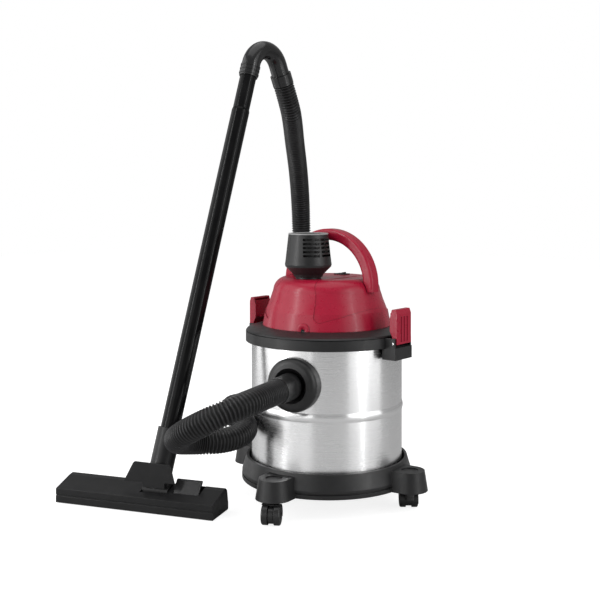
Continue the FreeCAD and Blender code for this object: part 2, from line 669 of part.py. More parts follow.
def make_latch(side, degrees):
    """Bracket on the rim, pin and red lever of one latch."""
    turn = Rotation(Z_AXIS, degrees)
    half = size("latch_width") / 2
    pin_x, pin_z = size("latch_pin_x"), size("latch_pin_z")

    block = box("latch_block_" + side, 28, 2 * half + 7, 21.5, 156.5, 0, 271.5)
    ears = [box(f"latch_ear_{side}_{hand}", 24, 3, 38, 157, sign * (half + 2), 271.5)
            for hand, sign in (("a", 1), ("b", -1))]
    hollow = turned("latch_core_" + side, disc("rim_radius", "rim_low_z", 312))
    tank_side = turned("latch_tank_side_" + side, disc("tank_radius + 0.02", 260, 300))
    pin_hole = rod("latch_pin_hole_" + side, 2, 60, pin_x, 30, pin_z, Rotation(Vector(1, 0, 0), 90))
    bracket = cut("bracket_" + side, fuse("bracket_solid_" + side, [block] + ears),
                  [hollow, tank_side, pin_hole])
    bracket.Placement = Placement(Vector(), turn)
    node(bracket, "latch_bracket_" + side)

    pin = group("pin_" + side, [rod("pin_rod_" + side, 1.95, 2 * half + 7, pin_x, half + 3.5, pin_z,
                                    Rotation(Vector(1, 0, 0), 90))])
    pin.Placement = Placement(Vector(), turn)
    node(pin, "latch_pin_" + side)

    plate = padded("latch_plate_" + side, "XZ_Plane", [
        (pin_x + 3, 299), (pin_x + 6, 299), (pin_x + 6, 352), (pin_x + 3, "latch_top_z"),
        (pin_x - 5, "latch_top_z"), (pin_x - 5, "latch_top_z - 3"), (pin_x + 2, "latch_top_z - 3"),
        (pin_x + 3, 350),
    ], "latch_width", midplane=True)
    cheeks = []
    for hand, sign in (("a", 1), ("b", -1)):
        cheek = padded(f"latch_cheek_{side}_{hand}", "XZ_Plane", [
            (pin_x + 4, 299), (pin_x + 4, 352), (pin_x + 2, "latch_top_z - 1"),
            (pin_x - 5, "latch_top_z - 1"), (pin_x - 9, 345), (pin_x - 9, 322), (pin_x - 4, 312),
            (pin_x - 4, 297.5), (pin_x + 1, 297),
        ], 3, midplane=True)
        place(cheek, 0, sign * (half - 1.5), 0)
        cheeks.append(cheek)
    inner = box("latch_inner_" + side, 3, 2 * half - 4, 32, pin_x - 7.5, 0, 322)
    nose = box("latch_nose_" + side, 7, 24, 5, pin_x - 9.5, 0, 322)
    grooves = [box(f"latch_groove_{side}_{index}", 2, 4.5, 44, pin_x + 6, 9.5 * (index - 1), 303)
               for index in range(3)]
    bore = rod("latch_bore_" + side, 2, 60, pin_x, 30, pin_z, Rotation(Vector(1, 0, 0), 90))
    lever = cut("lever_" + side, fuse("lever_solid_" + side, [plate, inner, nose] + cheeks),
                grooves + [bore])
    lever.Placement = Placement(Vector(), turn)
    node(lever, "latch_lever_" + side)


# ---------------------------------------------------------------- hose and wand

# Route of the hose's centre line, chosen by hand, from the inlet cuff to the bent handle.
HOSE_ROUTE = [
    (49.0, -204.2, 231.0), (62.8, -261.6, 231.0), (64.0, -310.0, 227.0), (39.0, -346.0, 211.0),
    (-2.0, -358.0, 189.0), (-46.0, -346.0, 166.0), (-77.0, -314.0, 149.0), (-79.0, -272.0, 140.0),
    (-54.0, -236.0, 137.0), (-45.0, -194.0, 139.0), (-61.0, -153.0, 144.0), (-102.0, -129.0, 150.0),
    (-145.0, -100.0, 154.0), (-186.0, -61.0, 150.0), (-216.0, -9.0, 141.0), (-240.0, 62.0, 133.0),
    (-257.0, 138.0, 131.0), (-268.0, 210.0, 140.0), (-284.0, 268.0, 168.0), (-301.0, 301.0, 224.0),
    (-304.0, 309.0, 300.0), (-303.0, 308.0, 385.0), (-302.0, 305.0, 470.0), (-290.0, 286.0, 552.0),
    (-270.0, 252.0, 620.0), (-243.0, 207.0, 672.0), (-210.0, 159.0, 712.0), (-188.8, 124.4, 741.6),
    (-188.0, 101.0, 788.0),
]
# ends of the wand's centre line
WAND_LOW = Vector(-192.5, -219.5, 131.7)
WAND_TOP = Vector(-186.8, -10.6, 791.8)


def smooth_path(points):
    """Wire of straight runs joined by tangent arcs, and the arcs' radii."""
    spots = [Vector(*point) for point in points]
    edges, radii = [], []
    start = spots[0]
    for before, corner, after in zip(spots, spots[1:], spots[2:]):
        back, ahead = before - corner, after - corner
        short = min(back.Length, ahead.Length)
        half_turn = (math.pi - back.getAngle(ahead)) / 2
        trim = 0.45 * short
        radii.append(trim / math.tan(half_turn))
        back.normalize()
        ahead.normalize()
        first, last = corner + back * trim, corner + ahead * trim
        centre_way = back + ahead
        centre_way.normalize()
        middle = corner + centre_way * (radii[-1] / math.cos(half_turn) - radii[-1])
        if start.distanceToPoint(first) > 1e-6:
            edges.append(Part.LineSegment(start, first).toShape())
        edges.append(Part.Arc(first, middle, last).toShape())
        start = last
    edges.append(Part.LineSegment(start, spots[-1]).toShape())
    return Part.Wire(edges), radii


def tube_along(wire, outer, inner):
    """Round tube swept along a wire, with flat ends."""
    start = wire.Edges[0].valueAt(wire.Edges[0].FirstParameter)
    way = wire.Edges[0].tangentAt(wire.Edges[0].FirstParameter)
    solids = []
    for radius in (outer, inner):
        circle = Part.Wire([Part.makeCircle(radius, start, way)])
        solids.append(wire.makePipeShell([circle], True, True))
    return solids[0].cut(solids[1])


def unit(vector):
    """Copy of a vector with length one."""
    copy = Vector(vector)
    copy.normalize()
    return copy


def make_hose():
    """Corrugated suction hose as one plain tube."""
    wire, radii = smooth_path(HOSE_ROUTE)
    outer, inner = size("hose_radius"), size("hose_radius - hose_wall")
    hose = doc.addObject("Part::Feature", "hose_tube")
    hose.Shape = tube_along(wire, outer, inner)
    node(hose, "suction_hose")
    expected = math.pi * (outer ** 2 - inner ** 2) * wire.Length
    print("hose length", round(wire.Length, 1), "volume ratio", round(hose.Shape.Volume / expected, 4))
    print("hose radii", [round(radius) for radius in radii])


def make_hose_cuff():
    """Smooth cuff that pushes into the inlet and takes the hose."""
    outer = size("hose_radius")
    cuff = turned("cuff", [
        (17, 130), ("inlet_bore", 130), ("inlet_bore", 163), (23.5, 163), (23.5, 172),
        (outer + 1.5, 178), (outer + 1.5, 210), (17, 210),
    ])
    place(cuff, 0, 0, "inlet_z", inlet_turn())
    node(cuff, "hose_cuff")


def elbow(start, corner, end, radius):
    """Wire of two straight runs with one arc of the given radius between them."""
    back, ahead = unit(start - corner), unit(end - corner)
    half_turn = (math.pi - back.getAngle(ahead)) / 2
    trim = radius * math.tan(half_turn)
    first, last = corner + back * trim, corner + ahead * trim
    middle = corner + unit(back + ahead) * (radius / math.cos(half_turn) - radius)
    return Part.Wire([Part.LineSegment(start, first).toShape(), Part.Arc(first, middle, last).toShape(),
                      Part.LineSegment(last, end).toShape()])


def make_hose_handle():
    """Rigid bent handle between the hose and the wand, with grip ribs on the wand side."""
    along = unit(WAND_TOP - WAND_LOW)
    corner = WAND_TOP + along * 140
    hose_end = Vector(*HOSE_ROUTE[-1])
    outer = size("wand_radius") + 1.0
    pieces = [tube_along(elbow(WAND_TOP + along * 2, corner, hose_end, 45.0), outer, outer - 2.5)]
    for index in range(3):
        base = WAND_TOP + along * (6 + 8 * index)
        rib = Part.makeCylinder(outer + 1.2, 4, base, along)
        pieces.append(rib.cut(Part.makeCylinder(outer - 1, 4, base, along)))
    cuff_way = unit(hose_end - corner)
    cuff = Part.makeCylinder(size("hose_radius") + 0.7, 22, hose_end - cuff_way * 22, cuff_way)
    pieces.append(cuff.cut(Part.makeCylinder(outer - 1, 22, hose_end - cuff_way * 22, cuff_way)))
    handle = doc.addObject("Part::Feature", "bent_handle")
    handle.Shape = pieces[0].fuse(pieces[1:]).removeSplitter()
    node(handle, "hose_handle")


def make_wand():
    """Two straight tubes, the upper one pushed over the lower one's swaged end."""
    along = unit(WAND_TOP - WAND_LOW)
    length = (WAND_TOP - WAND_LOW).Length
    turn = Rotation(Z_AXIS, along)
    split = 330.0
    lower = turned("lower_tube", [
        ("wand_radius - wand_wall", 0), ("wand_radius", 0), ("wand_radius", split),
        ("wand_radius - wand_wall - 0.02", split), ("wand_radius - wand_wall - 0.02", split + 30),
        ("wand_radius - 2 * wand_wall", split + 30), ("wand_radius - 2 * wand_wall", split - 2),
        ("wand_radius - wand_wall", split - 6),
    ])
    lower.Placement = Placement(WAND_LOW, turn)
    node(lower, "wand_lower")
    upper = turned("upper_tube", [
        ("wand_radius - wand_wall", split), ("wand_radius", split), ("wand_radius", length - 70),
        ("wand_radius - 1.2", length - 66), ("wand_radius - 1.2", length + 2), (13.5, length + 2),
        (13.5, length - 66), ("wand_radius - wand_wall", length - 76),
    ])
    upper.Placement = Placement(WAND_LOW, turn)
    node(upper, "wand_upper")


# ---------------------------------------------------------------- floor nozzle

def neck_drop(along):
    """Length of the neck from the wand's end down to the bend over the rocker."""
    rise = size("stub_reach") * math.cos(math.radians(size("stub_lean")))
    return (WAND_LOW.z - size("rocker_z") - rise) / along.z


def nozzle_frame():
    """Placement of the nozzle: x along it, y to its back, origin on the floor."""
    along = unit(WAND_TOP - WAND_LOW)
    neck_foot = WAND_LOW - along * neck_drop(along)
    turn = Rotation(Z_AXIS, size("nozzle_turn"))
    lean = math.radians(size("stub_lean"))
    stub_way = turn.multVec(Vector(0, math.sin(lean), math.cos(lean)))
    hinge = neck_foot - stub_way * size("stub_reach")
    offset = turn.multVec(Vector(size("rocker_x"), size("rocker_y"), size("rocker_z")))
    base = hinge - offset
    return Placement(Vector(base.x, base.y, 0), turn), hinge, stub_way, neck_foot, along


def in_nozzle(thing, frame):
    """Carry a finished piece into the nozzle's place."""
    thing.Placement = frame.multiply(thing.Placement)
    return thing


def strip_lines(front, back):
    """Name, place and end clearance of the two brush strips; the back one ends before the rollers."""
    return (("front", -front + 11, 42), ("back", back - 17, 84))


def make_nozzle_housing(frame):
    """Hollow housing, open below, with cheeks that hold the rocker and wells for the moving parts."""
    half, front, back = size("nozzle_half"), size("nozzle_front"), size("nozzle_back")
    rx, ry, rz = size("rocker_x"), size("rocker_y"), size("rocker_z")
    across = Rotation(Vector(0, 1, 0), 90)
    hull = padded("nozzle_hull", "YZ_Plane", [
        (-front, 1.5), (-front, 13.5), (-front + 1.2, 14.2), (-front + 1.2, 15.8), (-front, 16.5),
        (-front, 27), (8, 40), (back - 11, 41.5), (back - 5, 36.5), (back, 12.6), (back, 3.7),
        (back - 2, 1.5),
    ], 2 * half, midplane=True)
    inside = padded("nozzle_inside", "YZ_Plane", [
        (-front + 3, 0), (-front + 3, 24.7), (8, 36.9), (back - 12.5, 38), (back - 7.8, 34.5),
        (back - 3, 12.4), (back - 3, 0),
    ], 2 * half - 6, midplane=True)
    cheeks = [box(f"rocker_cheek_{hand}", 6, 20, 26, rx + sign * 29, ry - 2, 8)
              for hand, sign in (("a", -1), ("b", 1))]
    seat = rod("rocker_seat", "rocker_radius + 0.4", 52, rx - 26, ry, rz, across)
    journal_hole = rod("journal_hole", 6.1, 66, rx - 33, ry, rz, across)
    window = box("rocker_window", 52, 66, 40, rx, ry + 7, rz)
    pedal_well = box("pedal_well", 52, 34, 16, "pedal_x", "pedal_y + 12", 29)
    pin_hole = rod("pedal_pin_hole", 2.55, 60, size("pedal_x") - 30, "pedal_y", "pedal_z", across)
    wells = [box(f"roller_well_{hand}", 14, 14, 14, sign * (half - 30), back - 9, -0.5)
             for hand, sign in (("a", -1), ("b", 1))]
    shell = fuse("nozzle_shell", [cut("nozzle_hollow", hull, inside)] + cheeks)
    housing = cut("nozzle_housing", shell, [seat, journal_hole, window, pedal_well, pin_hole] + wells)
    node(in_nozzle(housing, frame), "nozzle_housing")


def make_nozzle_sole(frame):
    """Sole plate with its mouth, the two brush strips and the rear rollers."""
    half, front, back = size("nozzle_half"), size("nozzle_front"), size("nozzle_back")
    plate = box("sole_plate", 2 * half - 6.2, front + back - 6.2, 5.4, 0, (back - front) / 2, 0.5)
    mouth = box("sole_mouth", 2 * half - 60, 20, 12, 0, -6, -2)
    notches = [box(f"roller_notch_{hand}", 14, 14, 14, sign * (half - 30), back - 9, -1)
               for hand, sign in (("a", -1), ("b", 1))]
    slots = [box(f"sole_slot_{hand}", 2 * half - trim, 4, 12, 0, spot, -2)
             for hand, spot, trim in strip_lines(front, back)]
    node(in_nozzle(cut("sole", plate, [mouth] + notches + slots), frame), "nozzle_sole")

    strips = [box(f"strip_{hand}", 2 * half - trim - 2, 3, 12, 0, spot, 2.2)
              for hand, spot, trim in strip_lines(front, back)]
    node(in_nozzle(group("strips", strips), frame), "brush_strips")

    rollers = [rod("roller_" + hand, 6, 12, sign * (half - 30) - 6, back - 9, 6,
                   Rotation(Vector(0, 1, 0), 90))
               for hand, sign in (("a", -1), ("b", 1))]
    node(in_nozzle(group("rollers", rollers), frame), "nozzle_rollers")


def make_nozzle_rocker(frame):
    """Barrel on two journals, with the stub that the neck turns on and a shield in front of it."""
    rx, ry, rz = size("rocker_x"), size("rocker_y"), size("rocker_z")
    across = Rotation(Vector(0, 1, 0), 90)
    stub_turn = Rotation(Vector(1, 0, 0), -size("stub_lean"))
    barrel = rod("rocker_barrel", "rocker_radius", 50, rx - 25, ry, rz, across)
    journal = rod("rocker_journal", 6, 63, rx - 31.5, ry, rz, across)
    stub = rod("rocker_stub", 17, size("stub_reach") - 5, rx, ry, rz, stub_turn)
    shield = padded("neck_shield", "XZ_Plane", [
        (rx - 59, 48), (rx + 41.5, 51), (rx + 33.5, 81), (rx + 30.5, 83.5), (rx - 37.5, 84.5),
        (rx - 40.5, 82),
    ], 2.5)
    place(shield, 0, ry - 19, 0)
    web = box("shield_web", 44, 9.5, 11, rx, ry - 16.75, rz + 9)
    bore = rod("rocker_bore", 13, 60, rx, ry, rz, stub_turn)
    throat = rod("rocker_throat", 12, 40, rx, ry, rz - 30)
    solid = fuse("rocker_solid", [barrel, journal, stub, shield, web])
    node(in_nozzle(cut("rocker_cut", solid, [bore, throat]), frame), "nozzle_rocker")


def make_neck(hinge, stub_way, neck_foot, along):
    """Bent neck that turns on the rocker's stub and takes the wand."""
    outer, reach, drop = size("neck_radius"), size("stub_reach"), neck_drop(along)
    lower = Part.makeCylinder(outer, reach - 18, hinge + stub_way * 18, stub_way)
    joint_ball = Part.makeSphere(outer, neck_foot)
    upper = Part.makeCylinder(outer, drop + 5, neck_foot, along)
    bores = [Part.makeCylinder(17.05, reach - 4, hinge, stub_way),
             Part.makeSphere(15.5, neck_foot),
             Part.makeCylinder(15.5, drop + 1, neck_foot, along),
             Part.makeCylinder(17.5, 40, neck_foot + along * drop, along)]
    neck = doc.addObject("Part::Feature", "neck")
    # the ball would reach under the lower cylinder's end, so it is trimmed there
    below = Part.makeCylinder(outer + 5, 40, hinge - stub_way * 22, stub_way)
    neck.Shape = lower.fuse([joint_ball, upper]).cut(bores + [below]).removeSplitter()
    node(neck, "nozzle_neck")


def make_pedal(frame):
    """Foot pedal on its pivot."""
    flap = padded("pedal_flap", "YZ_Plane", [
        (-3, -1.5), (1, -2.5), (17.5, 19), (16.5, 21.5), (13, 20.5),
    ], 49, midplane=True)
    place(flap, "pedal_x", "pedal_y - 1", "pedal_z + 1.8")
    pivot = rod("pedal_pivot", 2.5, 58, size("pedal_x") - 29, "pedal_y", "pedal_z",
                Rotation(Vector(0, 1, 0), 90))
    node(in_nozzle(fuse("pedal", [flap, pivot]), frame), "nozzle_pedal")


def make_nozzle():
    """Floor nozzle with its swivel neck."""
    frame, hinge, stub_way, neck_foot, along = nozzle_frame()
    make_nozzle_housing(frame)
    make_nozzle_sole(frame)
    make_nozzle_rocker(frame)
    make_neck(hinge, stub_way, neck_foot, along)
    make_pedal(frame)


make_dolly()
for side, degrees in SIDES.items():
    make_castor(side, degrees)
make_tank()
make_rim()
screws = make_inlet()
node(group("inlet_screw_set", screws), "inlet_screws")
make_cover()
make_gland()
make_head_base()
make_handle()
make_switch()
make_diffuser()
make_motor()
make_float()
make_head_screws()
for side, degrees in (("right", 0), ("left", 180)):
    make_latch(side, degrees)
make_hose()
make_hose_cuff()
make_hose_handle()
make_wand()
make_nozzle()

doc.recompute()
for thing in doc.Objects:
    if "Invalid" in thing.State or "Error" in thing.State:
        raise SystemExit(f"{thing.Name} failed: {thing.State}")
os.makedirs("parts", exist_ok=True)
for thing in NODES:
    shape = thing.Shape
    if shape.isNull() or not shape.isValid():
        raise SystemExit(f"{thing.Label} has a bad shape")
    shape.exportStep(f"parts/{thing.Label}.step")
print(len(NODES), "sub-parts written")
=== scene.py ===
import json
import math

import bmesh
import bpy
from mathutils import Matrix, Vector


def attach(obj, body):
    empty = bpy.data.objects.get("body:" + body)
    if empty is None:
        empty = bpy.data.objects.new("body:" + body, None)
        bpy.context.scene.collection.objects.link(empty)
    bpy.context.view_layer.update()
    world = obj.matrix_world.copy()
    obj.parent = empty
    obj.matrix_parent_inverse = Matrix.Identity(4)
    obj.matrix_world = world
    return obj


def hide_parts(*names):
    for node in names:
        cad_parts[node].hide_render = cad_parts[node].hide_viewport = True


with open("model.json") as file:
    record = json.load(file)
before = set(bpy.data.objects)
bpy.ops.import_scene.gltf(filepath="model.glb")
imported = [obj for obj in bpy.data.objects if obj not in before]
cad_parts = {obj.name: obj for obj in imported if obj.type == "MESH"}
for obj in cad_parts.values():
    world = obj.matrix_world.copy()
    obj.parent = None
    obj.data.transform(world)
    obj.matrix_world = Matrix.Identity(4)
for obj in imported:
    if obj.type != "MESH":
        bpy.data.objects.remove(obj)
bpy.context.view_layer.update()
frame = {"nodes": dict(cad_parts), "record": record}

NODES = frame["nodes"]

# ---------------------------------------------------------------- sizes shared with the CAD model

HOSE_RADIUS = 0.021
# control points of the hose's line, in metres, from the inlet cuff to the bent handle
HOSE_ROUTE = [
    (0.0490, -0.2042, 0.2310), (0.0628, -0.2616, 0.2310), (0.0640, -0.3100, 0.2270),
    (0.0390, -0.3460, 0.2110), (-0.0020, -0.3580, 0.1890), (-0.0460, -0.3460, 0.1660),
    (-0.0770, -0.3140, 0.1490), (-0.0790, -0.2720, 0.1400), (-0.0540, -0.2360, 0.1370),
    (-0.0450, -0.1940, 0.1390), (-0.0610, -0.1530, 0.1440), (-0.1020, -0.1290, 0.1500),
    (-0.1450, -0.1000, 0.1540), (-0.1860, -0.0610, 0.1500), (-0.2160, -0.0090, 0.1410),
    (-0.2400, 0.0620, 0.1330), (-0.2570, 0.1380, 0.1310), (-0.2680, 0.2100, 0.1400),
    (-0.2840, 0.2680, 0.1680), (-0.3010, 0.3010, 0.2240), (-0.3040, 0.3090, 0.3000),
    (-0.3030, 0.3080, 0.3850), (-0.3020, 0.3050, 0.4700), (-0.2900, 0.2860, 0.5520),
    (-0.2700, 0.2520, 0.6200), (-0.2430, 0.2070, 0.6720), (-0.2100, 0.1590, 0.7120),
    (-0.1888, 0.1244, 0.7416), (-0.1880, 0.1010, 0.7880),
]


# ---------------------------------------------------------------- node materials

class Graph:
    """Small helper that adds and links nodes of one material."""

    def __init__(self, name):
        self.material = bpy.data.materials.new(name)
        self.material.use_nodes = True
        self.tree = self.material.node_tree
        self.tree.nodes.clear()
        self.shader = self.add("ShaderNodeBsdfPrincipled")
        output = self.add("ShaderNodeOutputMaterial")
        self.link(self.shader.outputs[0], output.inputs["Surface"])
        self.coords = self.add("ShaderNodeTexCoord").outputs["Object"]

    def add(self, kind, **settings):
        item = self.tree.nodes.new(kind)
        for key, value in settings.items():
            setattr(item, key, value)
        return item

    def link(self, source, target):
        self.tree.links.new(source, target)

    def noise(self, scale, detail=3.0, roughness=0.5, vector=None):
        item = self.add("ShaderNodeTexNoise")
        item.inputs["Scale"].default_value = scale
        item.inputs["Detail"].default_value = detail
        item.inputs["Roughness"].default_value = roughness
        self.link(vector or self.coords, item.inputs["Vector"])
        return item.outputs["Fac"]

    def math(self, operation, first, second):
        item = self.add("ShaderNodeMath", operation=operation)
        for socket, value in zip(item.inputs, (first, second)):
            if isinstance(value, (int, float)):
                socket.default_value = value
            else:
                self.link(value, socket)
        return item.outputs[0]

    def spread(self, value, low, high, start=0.3, stop=0.7):
        """The value's range from start to stop carried to low..high."""
        item = self.add("ShaderNodeMapRange")
        self.link(value, item.inputs["Value"])
        for key, number in (("From Min", start), ("From Max", stop), ("To Min", low), ("To Max", high)):
            item.inputs[key].default_value = number
        return item.outputs["Result"]

    def mix(self, factor, first, second):
        item = self.add("ShaderNodeMix", data_type="RGBA")
        self.link(factor, item.inputs[0])
        for socket, value in ((item.inputs[6], first), (item.inputs[7], second)):
            if isinstance(value, tuple):
                socket.default_value = value + (1.0,)
            else:
                self.link(value, socket)
        return item.outputs[2]

    def edge_wear_and_sheen(self, radius):
        """Mask that is high where two faces meet in a sharp outer or inner edge, and the rounded normal."""
        bevel = self.add("ShaderNodeBevel", samples=8)
        bevel.inputs["Radius"].default_value = radius
        geometry = self.add("ShaderNodeNewGeometry")
        dot = self.add("ShaderNodeVectorMath", operation="DOT_PRODUCT")
        self.link(bevel.outputs[0], dot.inputs[0])
        self.link(geometry.outputs["Normal"], dot.inputs[1])
        return self.spread(dot.outputs["Value"], 1.0, 0.0, 0.80, 0.995), bevel.outputs[0]

    def cavity(self, distance):
        """Openness of the surface within a short distance: low in grooves and inner corners."""
        hollow = self.add("ShaderNodeAmbientOcclusion", samples=16)
        hollow.inputs["Distance"].default_value = distance
        return hollow.outputs["AO"]

    def bump(self, height, distance, normal=None):
        item = self.add("ShaderNodeBump")
        item.inputs["Strength"].default_value = 1.0
        item.inputs["Distance"].default_value = distance
        self.link(height, item.inputs["Height"])
        if normal is not None:
            self.link(normal, item.inputs["Normal"])
        return item.outputs[0]

    def finish(self, colour, roughness, normal, **shader):
        self.link(colour, self.shader.inputs["Base Color"])
        self.link(roughness, self.shader.inputs["Roughness"])
        self.link(normal, self.shader.inputs["Normal"])
        for key, value in shader.items():
            self.shader.inputs[key.replace("_", " ")].default_value = value
        return self.material


def moulded(name, colour, rough, grain=0.00003, grain_scale=1900.0, edge=0.0009, lift=0.12,
            crease_shade_reach=0.005, open_at=0.82, rub_and_sheen=1.35, **shader):
    """Injection moulded plastic: satin grain, faint flow marks, edges lightened as rubbed wear and painted
    highlight, and painted shade in creases.
    """
    g = Graph(name)
    wear_and_sheen, rounded = g.edge_wear_and_sheen(edge)
    flow = g.noise(14.0, 4.0, 0.6)
    lighter = tuple(min(1.0, c * (1.0 + lift) + 0.004) for c in colour)
    darker = tuple(c * (1.0 - 0.45 * lift) for c in colour)
    base = g.mix(g.spread(flow, 0.0, 1.0), darker, lighter)
    # edges lighter: rubbed wear and painted highlight
    scuff_and_sheen = g.math("MULTIPLY", wear_and_sheen, g.spread(g.noise(160.0), 0.25, 0.75))
    rubbed_and_sheen = tuple(min(1.0, c * rub_and_sheen + 0.012 * (rub_and_sheen - 1.0)) for c in colour)
    base = g.mix(scuff_and_sheen, base, rubbed_and_sheen)
    # painted shade: grooves and inner corners darkened towards a dim copy of the colour
    shaded = tuple(c * 0.12 for c in colour)
    base = g.mix(g.spread(g.cavity(crease_shade_reach), 0.0, 1.0, 0.25, open_at), shaded, base)
    roughness = g.spread(g.noise(95.0, 5.0, 0.65), rough - 0.06, rough + 0.07)
    return g.finish(base, roughness, g.bump(g.noise(grain_scale, 2.0), grain, rounded), **shader)


def brushed_steel(name):
    """Rolled stainless sheet with fine circumferential brushing and faint handling marks."""
    g = Graph(name)
    parts = g.add("ShaderNodeSeparateXYZ")
    g.link(g.coords, parts.inputs[0])
    turn = g.math("ARCTAN2", parts.outputs[1], parts.outputs[0])
    brushed = g.add("ShaderNodeCombineXYZ")
    g.link(g.math("MULTIPLY", turn, 1.6), brushed.inputs[0])
    g.link(g.math("MULTIPLY", parts.outputs[2], 2600.0), brushed.inputs[1])
    streaks = g.noise(1.0, 3.0, 0.7, brushed.outputs[0])
    wide = g.add("ShaderNodeCombineXYZ")
    g.link(g.math("MULTIPLY", turn, 0.9), wide.inputs[0])
    g.link(g.math("MULTIPLY", parts.outputs[2], 240.0), wide.inputs[1])
    bands = g.noise(1.0, 4.0, 0.6, wide.outputs[0])
    clouds = g.noise(9.0, 5.0, 0.6)
    base = g.mix(g.spread(bands, 0.0, 1.0), (0.93, 0.93, 0.935), (0.96, 0.96, 0.965))
    roughness = g.math("ADD", g.spread(streaks, 0.25, 0.29), g.spread(clouds, -0.02, 0.02))
    tangent = g.add("ShaderNodeTangent", direction_type="RADIAL", axis="Z")
    g.link(tangent.outputs[0], g.shader.inputs["Tangent"])
    return g.finish(base, roughness, g.bump(streaks, 0.000002), Metallic=1.0, Anisotropic=0.8,
                    Anisotropic_Rotation=0.25)


def machined(name, colour, rough, metallic=1.0):
    """Turned or drawn metal part with fine tool marks and duller patches."""
    g = Graph(name)
    wear_and_sheen, rounded = g.edge_wear_and_sheen(0.0004)
    patches = g.noise(60.0, 4.0, 0.6)
    base = g.mix(g.spread(patches, 0.0, 1.0), tuple(c * 0.82 for c in colour), colour)
    # edges lighter: worn metal and painted highlight
    base = g.mix(wear_and_sheen, base, tuple(min(1.0, c * 1.15 + 0.02) for c in colour))
    marks = g.noise(2400.0, 2.0)
    roughness = g.spread(marks, rough - 0.06, rough + 0.08)
    return g.finish(base, roughness, g.bump(marks, 0.00001, rounded), Metallic=metallic)


def porous(name, colour):
    """Open cell foam sleeve."""
    g = Graph(name)
    cells = g.add("ShaderNodeTexVoronoi")
    cells.inputs["Scale"].default_value = 620.0
    g.link(g.coords, cells.inputs["Vector"])
    depth = cells.outputs["Distance"]
    # painted shade: the pits of the cells darker
    base = g.mix(g.spread(depth, 0.0, 1.0, 0.1, 0.6), tuple(c * 0.4 for c in colour), colour)
    return g.finish(base, g.spread(depth, 0.85, 1.0), g.bump(depth, 0.0006))


def bristled(name, colour):
    """Row of upright bristles: fine vertical streaks."""
    g = Graph(name)
    stretch = g.add("ShaderNodeMapping")
    stretch.inputs["Scale"].default_value = (1800.0, 1800.0, 30.0)
    g.link(g.coords, stretch.inputs["Vector"])
    hairs = g.noise(1.0, 2.0, 0.6, stretch.outputs[0])
    base = g.mix(g.spread(hairs, 0.0, 1.0), tuple(c * 0.4 for c in colour), tuple(c * 2.2 for c in colour))
    return g.finish(base, g.spread(hairs, 0.45, 0.7), g.bump(hairs, 0.0005))


def corrugated(name):
    """Ribbed hose wall: paler crests as painted highlight and near-black valleys as painted shade, told
    apart by the ridge attribute.
    """
    g = Graph(name)
    ridge = g.add("ShaderNodeAttribute", attribute_name="ridge").outputs["Fac"]
    # crests paler as painted highlight, valleys near black as painted shade
    crest_highlight = g.math("MULTIPLY", ridge, g.spread(g.noise(55.0), 0.65, 1.0))
    base = g.mix(crest_highlight, (0.0012, 0.0012, 0.0013), (0.040, 0.040, 0.042))
    roughness = g.math("SUBTRACT", g.spread(g.noise(120.0), 0.36, 0.44), g.math("MULTIPLY", ridge, 0.16))
    return g.finish(base, roughness, g.bump(g.noise(1500.0), 0.00001), Specular_IOR_Level=0.24)


BLACK = (0.0095, 0.0095, 0.010)
MATERIALS = {
    "black_shell": moulded("black_shell_moulded", BLACK, 0.38, grain=0.00004,
                           Specular_IOR_Level=0.42),
    "red_shell": moulded("red_shell_moulded", (0.335, 0.0050, 0.028), 0.30, grain=0.000008, lift=0.03,
                         edge=0.0004, crease_shade_reach=0.0025, open_at=0.90, rub_and_sheen=1.0,
                         Specular_IOR_Level=0.32, Coat_Weight=0.06, Coat_Roughness=0.12),
    "tank_steel": brushed_steel("tank_steel_brushed"),
    "grey_trim": moulded("grey_trim_moulded", (0.30, 0.30, 0.30), 0.38),
    "castor_plastic": moulded("castor_plastic_moulded", (0.012, 0.012, 0.0125), 0.30),
    "pin_steel": machined("pin_steel_drawn", (0.62, 0.62, 0.63), 0.28),
    "hose_plastic": moulded("hose_plastic_moulded", (0.007, 0.007, 0.0075), 0.22, grain=0.00001,
                            edge=0.0001, crease_shade_reach=0.003, Specular_IOR_Level=0.5),
    "wand_plastic": moulded("wand_plastic_gloss", (0.003, 0.003, 0.0033), 0.14, grain=0.000006,
                            Specular_IOR_Level=0.11),
    "nozzle_plastic": moulded("nozzle_plastic_moulded", (0.010, 0.010, 0.0105), 0.34, grain=0.00004,
                              Specular_IOR_Level=0.24),
    "bristle": bristled("bristle_nylon", (0.020, 0.020, 0.020)),
    "switch_black": moulded("switch_black_gloss", (0.010, 0.010, 0.010), 0.20, grain=0.000008),
    "seal_rubber": moulded("seal_rubber_matt", (0.016, 0.016, 0.016), 0.62, grain=0.00006),
    "inner_plastic": moulded("inner_plastic_moulded", (0.045, 0.045, 0.047), 0.45),
    "float_plastic": moulded("float_plastic_moulded", (0.70, 0.69, 0.66), 0.40, lift=0.08),
    "foam": porous("foam_open_cell", (0.05, 0.05, 0.052)),
    "motor_steel": machined("motor_steel_plated", (0.45, 0.45, 0.46), 0.35),
    "fan_alloy": machined("fan_alloy_cast", (0.60, 0.60, 0.61), 0.42),
    "rotor_iron": machined("rotor_iron_stacked", (0.23, 0.21, 0.19), 0.45),
    "brush_carbon": machined("brush_carbon_pressed", (0.04, 0.04, 0.04), 0.6, 0.3),
}

for part in frame["record"]["subparts"]:
    node = NODES[part["node"]]
    node.data.materials.clear()
    node.data.materials.append(MATERIALS[part["material_slot"]])


# ---------------------------------------------------------------- mesh helpers

